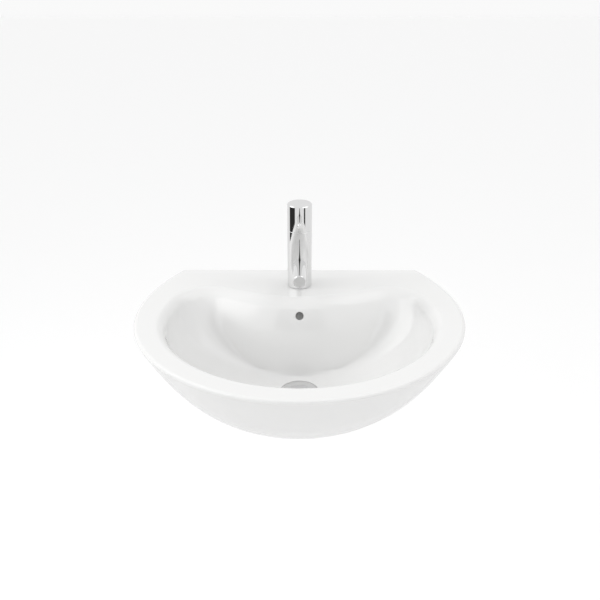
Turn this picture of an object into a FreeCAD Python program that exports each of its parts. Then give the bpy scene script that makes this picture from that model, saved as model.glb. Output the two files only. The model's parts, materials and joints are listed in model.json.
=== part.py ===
"""Semi recessed basin in vitreous china, with a single lever tap and a push-open waste.

Millimetres. X runs to the right, Y to the back and Z up. The origin is the middle of the
counter's front top edge: the rim rests on Z = 0, and the skirt's back edge bears on Y = 0.
"""
import FreeCAD, Part
import Sketcher
import math
import os
import re
from types import SimpleNamespace

SIZES = {
    "rim": {
        "rim_radius": 279.5,  # the rim's round front, outside
        "overhang": 213.5,  # how far the rim reaches in front of the counter
        "rear_reach": 251.5,  # from the counter's front to the rim's straight back edge
        "side_radius": 400.0,  # flatter sides behind the round front
        "side_start": 15.0,  # degrees behind the rim's centre where the sides begin
        "rim_height": 20.0,  # the rim's top above the counter
        "rim_edge_radius": 8.0,
        "back_corner_radius": 12.0,
        "seat_width": 28.0,  # the strip that rests on the counter
        "deck_thickness": 15.0,  # china inside that strip
    },
    "skirt": {
        "widest_drop": 5.2,  # below the rim's top, where the outside is widest
        "skirt_depth": 186.0,  # from the rim's top to the lowest point of the curve
        "skirt_top_power": 1.19,  # how early the curve turns inwards
        "skirt_foot_power": 3.2,  # how fully it rounds under
        "skirt_setback": 23.1,  # how far each section's centre moves back
        "skirt_setback_depth": 40.6,
        "skirt_wall": 14.0,
    },
    "bowl": {
        "bowl_half_width": 226.0,
        "bowl_half_depth": 212.0,
        "rim_band": 49.5,  # rim between the front edge and the bowl
        "bowl_floor": 133.0,  # from the rim's top down to the waste's flange
        "bowl_side_power": 1.9,
        "bowl_floor_power": 2.0,
        "bowl_wall": 11.0,
        "bowl_edge_radius": 15.0,
        "back_wall_top": 119.0,  # Y of the bowl's back wall at the rim
        "back_wall_foot": 71.0,  # and the Y that it tends to at the floor
        "back_wall_fade": 55.0,  # depth in which it moves there
        "back_wall_bulge": 262.0,  # radius of its round front
        "back_wall_cut": 0.5,  # share of the oval's back that the wall cuts off where it bulges
        "bowl_side_share": 0.93,  # radius of the bowl's sides as a share of its half depth
        "bowl_corner_share": 0.28,  # radius of its rear corners as a share of that radius
        "bowl_corner_place": 0.6,  # and their place as a share of its half width
        "lobe_power": 12.0,  # how sharply the wall's cut fades out above the waste
    },
    "overflow": {
        "overflow_radius": 7.2,
        "overflow_drop": 24.0,  # the hole's centre below the rim's top
        "duct_width": 34.0,
        "duct_depth": 12.0,
        "duct_wall": 8.0,
        "duct_top": 20.0,  # below the rim's top
        "duct_floor": 30.0,  # below the flange
    },
    "waste": {
        "waste_setback": 30.0,  # the waste's axis behind the counter's front
        "flange_radius": 33.0,
        "flange_gap": 0.6,  # sealant line round the flange
        "flange_thickness": 3.0,
        "flange_edge": 0.6,
        "flange_dish": 2.2,
        "flange_recess": 5.0,
        "flange_seal_bore": 23.5,
        "waste_hole_radius": 22.5,
        "boss_radius": 45.0,
        "boss_drop": 46.0,  # the boss's flat foot below the flange
        "tail_radius": 20.95,
        "tail_bore": 18.4,
        "tail_length": 82.0,
        "trap_thread_length": 18.0,  # its lower thread, on which the trap screws
        "thread_relief_width": 1.6,
        "thread_relief_depth": 0.8,
        "mouth_radius": 22.0,
        "mouth_depth": 7.0,
        "slot_width": 10.0,
        "slot_top": 14.0,
        "slot_height": 15.0,
        "bar_depth": 38.0,  # the crossbar's underside below the flange
        "bar_height": 6.0,
        "bar_width": 6.0,
        "hub_radius": 8.0,
        "hub_height": 10.0,
        "tail_washer_radius": 34.0,
        "tail_washer_thickness": 5.0,
        "tail_washer_taper": 3.0,
        "slip_washer_thickness": 1.5,
        "back_nut_size": 34.0,
        "back_nut_height": 9.0,
    },
    "plug": {
        "plug_radius": 21.0,
        "plug_crown": 0.8,
        "plug_thickness": 3.2,
        "plug_edge": 1.8,
        "plug_seal_radius": 19.4,
        "plug_seal_bore": 14.0,
        "plug_seal_thickness": 1.8,
        "plug_travel": 8.0,
        "plug_stem_radius": 3.0,
        "plunger_radius": 5.7,
        "plunger_depth": 20.0,  # the plunger's top below the flange, plug shut
        "plunger_height": 1.5,
        "clicker_bore": 6.0,
        "clicker_radius": 8.0,
        "clicker_height": 18.4,
        "clicker_wall": 2.0,
        "clicker_stub_radius": 2.9,
        "clicker_stub_length": 9.0,
        "spring_outer": 5.2,
        "spring_inner": 4.0,
    },
    "tap": {
        "tap_setback": 182.0,  # the tap's axis behind the counter's front
        "tap_hole_radius": 17.5,
        "column_radius": 21.8,
        "column_edge": 0.6,
        "seam_height": 108.0,  # where the turning cap begins
        "tap_height": 155.6,
        "gasket_outer": 20.7,
        "gasket_inner": 18.7,
        "gasket_thickness": 1.4,
        "base_gap": 0.3,  # the column stands on its gasket
        "stud_radius": 4.0,
        "stud_offset": 13.0,
        "stud_depth": 14.0,
        "stud_drop": 62.0,
        "inlet_radius": 4.5,  # M10x1 for the hoses
        "inlet_depth": 14.0,
        "inlet_spacing": 17.0,
        "inlet_setback": 2.0,
        "waterway_radius": 3.2,
        "outlet_offset": 9.0,
        "horseshoe_radius": 24.0,
        "horseshoe_gasket": 3.0,
        "horseshoe_plate": 2.0,
        "hose_gap": 28.0,
        "hose_gap_back": 7.6,
        "stud_nut_size": 7.5,
        "stud_nut_height": 20.0,
    },
    "spout": {
        "spout_reach": 105.0,  # from the tap's axis to the spout's end
        "spout_rise": 4.0,  # degrees
        "spout_height": 45.5,  # its axis above the deck, at the tap's axis
        "spout_radius": 11.0,
        "spout_bore": 6.0,
        "spout_end_wall": 4.0,
        "spout_end_edge": 1.2,
        "spigot_radius": 9.0,
        "spigot_depth": 8.0,
        "spigot_groove": 1.4,
        "aerator_inset": 13.0,
        "aerator_radius": 7.9,
        "aerator_wall": 1.3,
        "aerator_height": 7.6,
        "aerator_stand": 0.3,  # how far it stands out below the spout
        "aerator_shelf": 1.6,
        "aerator_seal_height": 1.6,
        "mesh_hole": 0.7,
        "mesh_ring": 2.2,
    },
    "cartridge": {
        "cartridge_seat": 66.0,
        "cartridge_radius": 17.5,
        "cartridge_base_height": 6.0,
        "seal_width": 1.5,
        "seal_height": 1.6,
        "disc_radius": 14.0,
        "disc_thickness": 5.0,
        "moving_disc_radius": 10.0,
        "carrier_height": 4.0,
        "housing_bore": 14.5,
        "housing_height": 29.7,
        "housing_lid": 3.0,
        "housing_mouth": 10.7,
        "turret_radius": 13.8,
        "turret_drop": 8.3,  # the turret's foot below the pivot
        "turret_foot": 4.3,
        "turret_slot_front": 6.6,
        "turret_slot_back": 8.4,
        "turret_neck": 10.3,
        "turret_top": 104.0,
        "pivot_height": 95.0,
        "pivot_radius": 1.5,
        "pivot_length": 18.0,
        "stem_arm": 9.6,  # from the pivot down to the stem's ball
        "stem_ball": 2.6,
        "stem_neck": 1.9,
        "stem_hub": 3.9,
        "stem_width": 7.6,
        "stem_top": 129.5,
        "nut_radius": 19.2,
        "nut_bore": 12.5,
        "nut_height": 5.5,
        "nut_socket": 12.0,
        "bonnet_outer": 19.0,
        "bonnet_inner": 13.5,
        "bonnet_height": 3.1,
    },
    "handle": {
        "cap_gap": 0.4,  # the seam between column and cap
        "cap_wall": 2.4,
        "cap_roof": 4.0,
        "cap_edge": 1.5,
        "cap_boss_radius": 9.0,
        "cap_boss_height": 118.0,
        "socket_depth": 12.3,
        "socket_gap": 0.3,
        "relief_angle": 24.0,  # the cap's back edge rises, so that it can tip back
        "relief_start": 3.0,  # in front of the tap's axis
        "lever_height": 137.0,
        "lever_radius": 4.0,
        "lever_reach": 43.0,  # how far it stands out of the cap
        "lever_root": 9.1,  # from the tap's axis to its inner end
        "lever_edge": 1.2,
        "grub_height": 124.0,
        "grub_radius": 2.4,
        "grub_length": 4.9,
        "cover_radius": 2.9,
    },
    "fits": {
        "body_gap": 0.3,  # between pieces that move past each other
        "seat_gap": 0.1,  # between faces that are clamped together
        "fit_gap": 0.05,  # round a screwed, pressed or running shaft
    },
}

doc = FreeCAD.newDocument("semi_recessed_basin")


def write_sheet():
    """Put each size in a cell with its name as alias, and return the sheet and its values."""
    sheet = doc.addObject("Spreadsheet::Sheet", "sizes")
    row = 1
    for group, members in SIZES.items():
        sheet.set(f"A{row}", group)
        row += 1
        for alias, value in members.items():
            sheet.set(f"A{row}", alias)
            sheet.set(f"B{row}", str(value))
            sheet.setAlias(f"B{row}", alias)
            row += 1
    doc.recompute()
    names = [alias for members in SIZES.values() for alias in members]
    return sheet, SimpleNamespace(**{alias: float(sheet.get(alias)) for alias in names})


sheet, v = write_sheet()


# --- small helpers for objects whose sizes are bound to the sheet ---


def bound(text):
    """The expression with each size's alias written as a reference to the sheet."""
    return re.sub(
        r"[a-z_]+", lambda m: f"sizes.{m.group()}" if hasattr(v, m.group()) else m.group(), text
    )


def bind(obj, **properties):
    """Bind properties of an object to expressions in the sheet's aliases."""
    for name, text in properties.items():
        obj.setExpression(name.replace("__", "."), bound(text))
    return obj


def place(obj, x="0", y="0", z="0", turn=None):
    """Put an object at a bound position, turned about one axis by a bound angle in degrees."""
    if turn:
        axis, angle = turn
        obj.Placement = FreeCAD.Placement(FreeCAD.Vector(), FreeCAD.Rotation(FreeCAD.Vector(*axis), 90))
        for letter, part in zip("xyz", axis):
            obj.setExpression(f"Placement.Rotation.Axis.{letter}", str(part))
        obj.setExpression("Placement.Rotation.Angle", bound(angle))
    for letter, text in zip("xyz", (x, y, z)):
        obj.setExpression(f"Placement.Base.{letter}", bound(text))
    return obj


def cylinder(name, radius, height, x="0", y="0", z="0", turn=None):
    obj = doc.addObject("Part::Cylinder", name)
    bind(obj, Radius=radius, Height=height)
    return place(obj, x, y, z, turn)


def box(name, length, width, height, x="0", y="0", z="0", turn=None):
    obj = doc.addObject("Part::Box", name)
    bind(obj, Length=length, Width=width, Height=height)
    return place(obj, x, y, z, turn)


def tube(name, outer, inner, height, x="0", y="0", z="0", turn=None):
    """A plain ring: one cylinder cut from another of the same height."""
    rim = cylinder(f"{name}_rim", outer, height, x, y, z, turn)
    hole = cylinder(f"{name}_hole", inner, height, x, y, z, turn)
    return cut(name, rim, hole)


def hexagon(name, size, height, x="0", y="0", z="0"):
    obj = doc.addObject("Part::Prism", name)
    obj.Polygon = 6
    bind(obj, Circumradius=size, Height=height)
    return place(obj, x, y, z)


def fuse(name, *pieces):
    obj = doc.addObject("Part::MultiFuse", name)
    obj.Shapes = list(pieces)
    obj.Refine = True
    return obj


def cut(name, base, *tools):
    obj = doc.addObject("Part::Cut", name)
    obj.Base = base
    obj.Tool = tools[0] if len(tools) == 1 else fuse(f"{name}_tools", *tools)
    obj.Refine = True
    return obj


def turned(name, profile):
    """A body revolved about Z from a closed outline of (radius, height) expressions."""
    body = doc.addObject("PartDesign::Body", name)
    plane = next(f for f in body.Origin.OriginFeatures if f.Role == "XZ_Plane")
    sketch = body.newObject("Sketcher::SketchObject", f"{name}_outline")
    sketch.AttachmentSupport = (plane, [""])
    sketch.MapMode = "FlatFace"
    count = len(profile)
    rough = [
        FreeCAD.Vector(40 - 30 * math.cos(2 * math.pi * i / count), 30 * math.sin(2 * math.pi * i / count), 0)
        for i in range(count)
    ]
    for i in range(count):
        sketch.addGeometry(Part.LineSegment(rough[i], rough[(i + 1) % count]), False)
    for i in range(count):
        sketch.addConstraint(Sketcher.Constraint("Coincident", i, 2, (i + 1) % count, 1))
    for i, (radius, height) in enumerate(profile):
        for kind, text, axis, start in (
            ("DistanceX", radius, -2, rough[i].x),
            ("DistanceY", height, -1, rough[i].y),
        ):
            if text == "0":
                sketch.addConstraint(Sketcher.Constraint("PointOnObject", i, 1, axis))
            else:
                index = sketch.addConstraint(Sketcher.Constraint(kind, -1, 1, i, 1, start))
                sketch.setExpression(f"Constraints[{index}]", bound(text))
    turn = body.newObject("PartDesign::Revolution", f"{name}_turn")
    turn.Profile = sketch
    turn.ReferenceAxis = (sketch, ["V_Axis"])
    turn.Angle = 360.0
    return body


subparts = []


def subpart(label, obj, x="0", y="0", z="0", turn=None):
    """Name a finished piece and put it, whole, where it belongs."""
    obj.Label = label
    place(obj, x, y, z, turn)
    subparts.append(obj)
    return obj


# --- the china: ruled lofts through outlines that follow a few arcs and formulas ---


def arc(centre, radius, start, end, z):
    """An arc round a centre, from one direction to another in degrees, at a height."""
    points = []
    for turn in (start, (start + end) / 2, end):
        angle = math.radians(turn)
        points.append(
            FreeCAD.Vector(centre[0] + radius * math.cos(angle), centre[1] + radius * math.sin(angle), z)
        )
    return Part.Arc(*points).toShape()


def rounded(radius, steps):
    """Drop and inset of points down a rounded edge, from its flat top to its upright side."""
    turns = [math.pi / 2 * i / steps for i in range(steps + 1)]
    return [(radius * (1 - math.cos(turn)), radius * (1 - math.sin(turn))) for turn in turns]


def skirt_section(depth):
    """Radius and centre Y of the outside's round front at a depth below the rim's top."""
    share = max(depth - v.widest_drop, 0) / (v.skirt_depth - v.widest_drop)
    radius = v.rim_radius * (1 - share**v.skirt_top_power) ** (1 / v.skirt_foot_power)
    setback = v.skirt_setback * (1 - math.exp(-depth / v.skirt_setback_depth))
    return radius, v.rim_radius - v.overhang + setback


LEAST_CORNER = 10.0  # degrees of arc that a rear corner keeps where the back hardly cuts it
BOWL_END = 0.992  # share of the bowl's full depth where its floor is closed off, inside the flange


def outline(z, front, side, corner, back, turn=90.0):
    """A closed outline of tangent arcs, the same on both sides of the centre line.

    front and side are (x, y, radius) of the front's arc and of the right side's arc. corner is the
    radius of the rear corners, back the y where the back crosses the centre line, and turn the
    direction, in degrees, that the right corner faces where the back starts: 90 for a straight
    back, more for one that bulges forward."""
    side_x, side_y, side_radius = side
    outer = math.copysign(1, front[2] - side_radius)
    start = math.degrees(math.atan2(outer * (side_y - front[1]), outer * side_x))
    swing = side_radius - corner
    lean = math.radians(45 - turn / 2)
    rise = back - corner - side_y - side_x * math.tan(lean)
    meet = math.degrees(math.asin(min(rise * math.cos(lean) / swing, 1)) - lean)
    meet = min(meet, turn - LEAST_CORNER)
    corner_x = side_x + swing * math.cos(math.radians(meet))
    corner_y = side_y + swing * math.sin(math.radians(meet))
    back = corner_y + corner + corner_x * math.tan(lean)
    tip_x = corner_x + corner * math.cos(math.radians(turn))
    tip_y = corner_y + corner * math.sin(math.radians(turn))
    tips = [FreeCAD.Vector(x, y, z) for x, y in ((tip_x, tip_y), (0, back), (-tip_x, tip_y))]
    rear = Part.LineSegment(tips[0], tips[2]) if turn == 90 else Part.Arc(*tips)
    return Part.Wire(
        [
            arc(front[:2], front[2], 180 - start, 360 + start, z),
            arc((side_x, side_y), side_radius, start, meet, z),
            arc((corner_x, corner_y), corner, meet, turn, z),
            rear.toShape(),
            arc((-corner_x, corner_y), corner, 180 - turn, 180 - meet, z),
            arc((-side_x, side_y), side_radius, 180 - meet, 180 - start, z),
        ]
    )


def rim_outline(depth, inset=0.0):
    """The outside's whole outline: round front, flatter sides, rear corners and a straight back."""
    radius, centre = skirt_section(depth)
    turn = math.radians(v.side_start)
    side_x = (radius - v.side_radius) * math.cos(turn)
    side_y = centre + (radius - v.side_radius) * math.sin(turn)
    return outline(
        v.rim_height - depth,
        front=(0, centre, radius - inset),
        side=(side_x, side_y, v.side_radius - inset),
        corner=max(v.back_corner_radius - inset, v.back_corner_radius / 4),
        back=v.rear_reach - inset,
    )


def skirt_ring(depth, inset):
    radius, centre = skirt_section(depth)
    z = v.rim_height - depth
    halves = [arc((0, centre), radius - inset, start, start + 180, z) for start in (180, 0)]
    return Part.Wire(halves)


def back_wall(depth):
    """Y of the bowl's back wall on the centre line."""
    return v.back_wall_foot + (v.back_wall_top - v.back_wall_foot) * math.exp(-depth / v.back_wall_fade)


def bowl_depth():
    """Depth of the bowl's full curve, which reaches bowl_floor at the edge of the flange."""
    edge = (v.flange_radius + v.flange_gap) / v.bowl_half_width
    return v.bowl_floor / (1 - edge**v.bowl_floor_power) ** (1 / v.bowl_side_power)


def bowl_outline(depth, grow=0.0, sink=0.0):
    """The bowl's outline at a depth: an oval whose rear is cut by the bulging back wall."""
    share = depth / bowl_depth()
    spread = (1 - share**v.bowl_side_power) ** (1 / v.bowl_floor_power)
    half_x = v.bowl_half_width * spread
    half_y = v.bowl_half_depth * spread
    side = v.bowl_side_share * half_y
    front = ((half_x - side) ** 2 + half_y**2 - side**2) / (2 * (half_y - side))
    front_centre = v.bowl_half_depth - v.overhang + v.rim_band
    centre = front_centre + (v.waste_setback - front_centre) * share

    # how far the wall cuts into the oval's back, from 0 to 1, sets the back's bend and corners
    oval_back = centre + half_y - v.waste_setback
    wall_back = back_wall(depth) - v.waste_setback
    reach = (oval_back**-v.lobe_power + wall_back**-v.lobe_power) ** (-1 / v.lobe_power)
    cut_off = min((1 - reach / oval_back) / v.back_wall_cut, 1)
    bulge = v.back_wall_bulge + v.back_wall_top - back_wall(depth)
    bend = (1 - cut_off) / front - cut_off / bulge
    corner = side * v.bowl_corner_share
    return outline(
        v.rim_height - depth - sink,
        front=(0, centre - half_y + front, front + grow),
        side=(half_x - side, centre, side + grow),
        corner=corner + grow,
        back=v.waste_setback + reach + grow,
        turn=90 - math.degrees(v.bowl_corner_place * half_x * bend),
    )


def bowl_levels(top, steps):
    """Depths from a level down to the floor, closer together where the bowl turns level."""
    full = bowl_depth()
    first, last = math.asin(top / full), math.asin(BOWL_END)
    return [full * math.sin(first + (last - first) * i / steps) for i in range(steps + 1)]


def loft(rings):
    return Part.makeLoft(rings, True, True)


def revolved(points, y):
    """A solid turned round an upright axis on the centre line from (radius, z) points."""
    outline_points = [FreeCAD.Vector(radius, y, z) for radius, z in points]
    face = Part.Face(Part.makePolygon(outline_points + outline_points[:1]))
    return face.revolve(FreeCAD.Vector(0, y, 0), FreeCAD.Vector(0, 0, 1), 360)


def bowl_underside():
    """The pot round the bowl: turned, with its rear cut back to a wall's thickness."""
    levels = bowl_levels(v.deck_thickness / 2, 6)
    steps = []
    for depth in levels:
        share = depth / bowl_depth()
        spread = (1 - share**v.bowl_side_power) ** (1 / v.bowl_floor_power)
        steps.append(
            (v.bowl_half_width * spread + v.bowl_wall, v.rim_height - depth - v.bowl_wall * share)
        )
    ends = [(0, steps[-1][1]), (0, steps[0][1])]
    centre = v.bowl_half_depth - v.overhang + v.rim_band
    pot = revolved(steps + ends, centre)
    hub = v.back_wall_top + v.back_wall_bulge
    top, bottom = steps[0][1], steps[-1][1]
    walls = [back_wall(v.rim_height - z) + v.bowl_wall for z in (top, bottom)]
    behind = revolved([(0, top), (hub - walls[0], top), (hub - walls[1], bottom), (0, bottom)], hub)
    return pot.cut(behind)


def duct_block(front, depth, width, top, floor, reach):
    """A block that follows the bowl's back wall down and then runs forward to the waste."""
    levels = [top + (v.bowl_floor - top) * i / 4 for i in range(5)]
    ahead = [(back_wall(level) + front, v.rim_height - level) for level in levels]
    behind = [(y + depth, z) for y, z in ahead]
    below = v.rim_height - v.bowl_floor - floor
    roof = below + depth
    turn = [(ahead[-1][0], roof), (reach, roof), (reach, below), (behind[-1][0], below)]
    points = [FreeCAD.Vector(-width / 2, y, z) for y, z in ahead + turn + behind[::-1]]
    face = Part.Face(Part.makePolygon(points + points[:1]))
    return face.extrude(FreeCAD.Vector(width, 0, 0))


def upright(radius, y, bottom, top):
    """A vertical cylinder on the centre line."""
    return Part.makeCylinder(radius, top - bottom, FreeCAD.Vector(0, y, bottom))


def make_china():
    big = 4 * v.rim_radius
    flange_z = v.rim_height - v.bowl_floor
    foot_z = flange_z - v.boss_drop

    # outside: rounded rim, then the skirt, kept only in front of the counter or above it
    rim = [rim_outline(drop, inset) for drop, inset in rounded(v.rim_edge_radius, 3)]
    span = v.skirt_depth - v.rim_edge_radius
    skirt = [rim_outline(v.rim_edge_radius + span * i / 14) for i in range(1, 14)]
    counter = Part.makeBox(big, big, big, FreeCAD.Vector(-big / 2, 0, -big))
    outside = loft(rim + skirt).cut(counter)

    # hollow behind the skirt, the thinner deck inside the strip that rests on the counter, and room
    # under the deck for the tap's horseshoe
    drop = v.skirt_depth - v.skirt_wall * 1.5 - v.deck_thickness
    hollow = loft([skirt_ring(v.deck_thickness + drop * i / 7, v.skirt_wall) for i in range(8)])
    hollow = hollow.common(Part.makeBox(big, big, 2 * big, FreeCAD.Vector(-big / 2, -big, -big)))
    recess = loft([rim_outline(depth, v.seat_width) for depth in (2 * v.rim_height, v.deck_thickness)])
    pocket_radius = v.horseshoe_radius + 2 * v.body_gap
    pocket = upright(pocket_radius, v.tap_setback, -v.rim_height, v.rim_height - v.deck_thickness)
    recess = recess.fuse(pocket).removeSplitter()
    shell = outside.cut(hollow).cut(recess)

    # underside of the bowl, casing of the overflow duct and boss for the waste, which keeps its full
    # width up to the counter's front face, so that nothing overhangs the edge of the apron there
    roof_z = flange_z - v.bowl_wall / 2
    boss = upright(v.boss_radius, v.waste_setback, foot_z, roof_z)
    corner = FreeCAD.Vector(-v.boss_radius, 0, foot_z)
    front = Part.makeBox(2 * v.boss_radius, v.waste_setback, roof_z - foot_z, corner)
    boss = boss.fuse(front)
    casing = duct_block(
        v.duct_wall / 2,
        v.duct_depth + 1.5 * v.duct_wall,
        v.duct_width + 2 * v.duct_wall,
        v.deck_thickness - 2,
        v.duct_floor + v.duct_wall,
        v.waste_setback,
    )
    china = shell.fuse([bowl_underside(), boss, casing])

    # the bowl, with its rounded edge
    edge = [bowl_outline(drop, inset) for drop, inset in rounded(v.bowl_edge_radius, 3)]
    bowl = [bowl_outline(depth) for depth in bowl_levels(v.bowl_edge_radius, 10)[1:]]
    china = china.cut(loft(edge + bowl))

    # overflow: a hole square to the back wall, and the duct behind it
    duct = duct_block(v.duct_wall, v.duct_depth, v.duct_width, v.duct_top, v.duct_floor, v.waste_setback)
    fade = math.exp(-v.overflow_drop / v.back_wall_fade) / v.back_wall_fade
    inward = FreeCAD.Vector(0, 1, -(v.back_wall_top - v.back_wall_foot) * fade).normalize()
    mouth = FreeCAD.Vector(0, back_wall(v.overflow_drop), v.rim_height - v.overflow_drop)
    start = mouth - inward * v.duct_depth / 2
    overflow = Part.makeCylinder(v.overflow_radius, 2 * v.duct_depth, start, inward)

    waste_hole = upright(v.waste_hole_radius, v.waste_setback, foot_z - v.boss_drop, flange_z)
    flange_seat = upright(
        v.flange_radius + v.flange_gap, v.waste_setback, flange_z - v.flange_recess, flange_z + v.boss_drop
    )
    tap_hole = upright(v.tap_hole_radius, v.tap_setback, -v.rim_height, 2 * v.rim_height)
    for tool in (duct, overflow, waste_hole, flange_seat, tap_hole):
        china = china.cut(tool)
    return china


china = doc.addObject("Part::Feature", "china")
china.Shape = make_china()
subpart("basin_body", china)


# --- the waste, round its own axis: Z = 0 is the top of its flange ---


def waste_part(label, obj):
    return subpart(label, obj, "0", "waste_setback", "rim_height - bowl_floor")


def make_waste_body():
    shell = turned(
        "waste_shell",
        [
            ("flange_radius", "-flange_edge"),
            ("flange_radius - 2 * flange_edge", "0"),
            ("mouth_radius", "-flange_dish"),
            ("tail_bore", "-mouth_depth"),
            ("tail_bore", "-tail_length"),
            ("tail_radius", "-tail_length"),
            ("tail_radius", "-tail_length + trap_thread_length"),
            ("tail_radius - thread_relief_depth", "-tail_length + trap_thread_length"),
            ("tail_radius - thread_relief_depth", "-tail_length + trap_thread_length + thread_relief_width"),
            ("tail_radius", "-tail_length + trap_thread_length + thread_relief_width"),
            ("tail_radius", "-mouth_depth - flange_edge"),
            ("mouth_radius + 1.5 * flange_edge", "-flange_thickness"),
            ("flange_radius", "-flange_thickness"),
        ],
    )
    slots = box(
        "overflow_slots",
        "slot_width",
        "4 * tail_radius",
        "slot_height",
        "-slot_width / 2",
        "-2 * tail_radius",
        "-slot_top - slot_height",
    )
    bar = box(
        "crossbar",
        "tail_bore + tail_radius",
        "bar_width",
        "bar_height",
        "-(tail_bore + tail_radius) / 2",
        "-bar_width / 2",
        "-bar_depth",
    )
    hub = cylinder("crossbar_hub", "hub_radius", "hub_height", z="-bar_depth")
    stub_hole = cylinder(
        "stub_hole", "clicker_stub_radius + fit_gap", "2 * hub_height", z="-bar_depth - hub_height / 2"
    )
    frame = fuse("waste_frame", cut("slotted_shell", shell, slots), bar, hub)
    return cut("waste_casting", frame, stub_hole)


def make_clicker_housing():
    base = "-bar_depth + hub_height + seat_gap"
    shell = cylinder("clicker_shell", "clicker_radius", "clicker_height", z=base)
    stub = cylinder(
        "clicker_stub", "clicker_stub_radius", "clicker_stub_length + clicker_wall / 2",
        z=f"{base} - clicker_stub_length",
    )
    cavity = cylinder(
        "clicker_cavity", "clicker_bore", "clicker_height - 2 * clicker_wall", z=f"{base} + clicker_wall"
    )
    hole_base = f"{base} + clicker_height - 1.5 * clicker_wall"
    top_hole = cylinder("clicker_hole", "plug_stem_radius + body_gap", "2 * clicker_wall", z=hole_base)
    return cut("clicker_case", fuse("clicker_blank", shell, stub), cavity, top_hole)


waste_part("waste_body", make_waste_body())
waste_part(
    "flange_seal",
    tube(
        "flange_ring",
        "flange_radius - flange_edge",
        "flange_seal_bore",
        "flange_recess - flange_thickness - 2 * seat_gap",
        z="-flange_recess + seat_gap",
    ),
)
waste_part(
    "tail_washer",
    turned(
        "tail_washer_ring",
        [
            ("tail_radius + 2 * fit_gap", "-boss_drop - seat_gap"),
            ("tail_washer_radius - tail_washer_taper", "-boss_drop - seat_gap"),
            ("tail_washer_radius", "-boss_drop - seat_gap - tail_washer_taper / 2"),
            ("tail_washer_radius", "-boss_drop - seat_gap - tail_washer_thickness"),
            ("tail_radius + 2 * fit_gap", "-boss_drop - seat_gap - tail_washer_thickness"),
        ],
    ),
)
SLIP_TOP = "-boss_drop - 2 * seat_gap - tail_washer_thickness"
waste_part(
    "slip_washer",
    tube(
        "slip_ring",
        "tail_washer_radius",
        "tail_radius + 2 * fit_gap",
        "slip_washer_thickness",
        z=f"{SLIP_TOP} - slip_washer_thickness",
    ),
)
NUT_BASE = f"{SLIP_TOP} - slip_washer_thickness - seat_gap - back_nut_height"
waste_part(
    "back_nut",
    cut(
        "back_nut_ring",
        hexagon("back_nut_hex", "back_nut_size", "back_nut_height", z=NUT_BASE),
        cylinder("back_nut_bore", "tail_radius + fit_gap", "back_nut_height", z=NUT_BASE),
    ),
)

# the plug and what carries it
waste_part(
    "plug_cap",
    turned(
        "plug_disc",
        [
            ("0", "-plug_thickness"),
            ("plug_radius - plug_edge", "-plug_thickness"),
            ("plug_radius", "-plug_thickness / 2"),
            ("plug_radius", "-plug_crown"),
            ("plug_radius - plug_edge * 1.5", "0.1"),
            ("0", "plug_crown"),
        ],
    ),
)
waste_part(
    "plug_seal",
    tube(
        "plug_ring",
        "plug_seal_radius",
        "plug_seal_bore",
        "plug_seal_thickness",
        z="-plug_thickness - seat_gap - plug_seal_thickness",
    ),
)
waste_part(
    "plug_stem",
    fuse(
        "plug_rod",
        cylinder(
            "plug_rod_shaft", "plug_stem_radius", "plunger_depth - plug_thickness - seat_gap", z="-plunger_depth"
        ),
        cylinder("plunger", "plunger_radius", "plunger_height", z="-plunger_depth - plunger_height"),
    ),
)
waste_part("clicker_housing", make_clicker_housing())
waste_part(
    "clicker_spring",
    tube(
        "spring_sleeve",
        "spring_outer",
        "spring_inner",
        "bar_depth - hub_height - seat_gap - clicker_wall - plunger_depth - plunger_height - 2 * fit_gap",
        z="-bar_depth + hub_height + seat_gap + clicker_wall + fit_gap",
    ),
)


# --- the tap, round its own axis: Z = 0 is the deck ---

SPIGOT_END = "column_radius - spigot_depth"
SPIGOT_MIDDLE = "column_radius - spigot_depth / 2"


def tap_part(label, obj, y="0", z="0", x="0", turn=None):
    return subpart(label, obj, x, f"tap_setback + {y}", f"rim_height + {z}", turn)


def on_spout(distance):
    """Position expressions for a point on the spout's axis, at a distance from the tap's axis."""
    return {
        "y": f"-({distance}) * cos(spout_rise)",
        "z": f"spout_height + ({distance}) * sin(spout_rise)",
        "turn": ((1, 0, 0), "90 - spout_rise"),
    }


def make_tap_body():
    column = turned(
        "tap_column",
        [
            ("0", "base_gap"),
            ("gasket_inner - fit_gap", "base_gap"),
            ("gasket_inner - fit_gap", "gasket_thickness + seat_gap * 2"),
            ("gasket_outer + fit_gap", "gasket_thickness + seat_gap * 2"),
            ("gasket_outer + fit_gap", "base_gap"),
            ("column_radius - column_edge", "base_gap"),
            ("column_radius", "base_gap + column_edge"),
            ("column_radius", "seam_height - column_edge"),
            ("column_radius - column_edge", "seam_height"),
            ("nut_radius + fit_gap", "seam_height"),
            ("nut_radius + fit_gap", "seam_height - nut_socket"),
            ("cartridge_radius + body_gap", "seam_height - nut_socket"),
            ("cartridge_radius + body_gap", "cartridge_seat"),
            ("0", "cartridge_seat"),
        ],
    )
    holes = [
        cylinder("stud_hole", "stud_radius + fit_gap", "stud_depth + base_gap", y="stud_offset"),
        cylinder("spout_socket", "spigot_radius + fit_gap", "column_radius", **on_spout(SPIGOT_END)),
        cylinder("spout_channel", "spout_bore", "column_radius / 2", **on_spout("outlet_offset * 2 / 3")),
        cylinder(
            "outlet_waterway", "waterway_radius", "cartridge_seat - spout_height + 1",
            y="-outlet_offset", z="spout_height",
        ),
    ]
    for side, sign in (("hot", "-"), ("cold", "")):
        x = f"{sign}inlet_spacing / 2"
        holes.append(cylinder(f"{side}_thread", "inlet_radius", "inlet_depth + base_gap", x, "inlet_setback"))
        holes.append(
            cylinder(f"{side}_waterway", "waterway_radius", "cartridge_seat + 1", x, "inlet_setback")
        )
    return cut("tap_casting", column, *holes)


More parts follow.
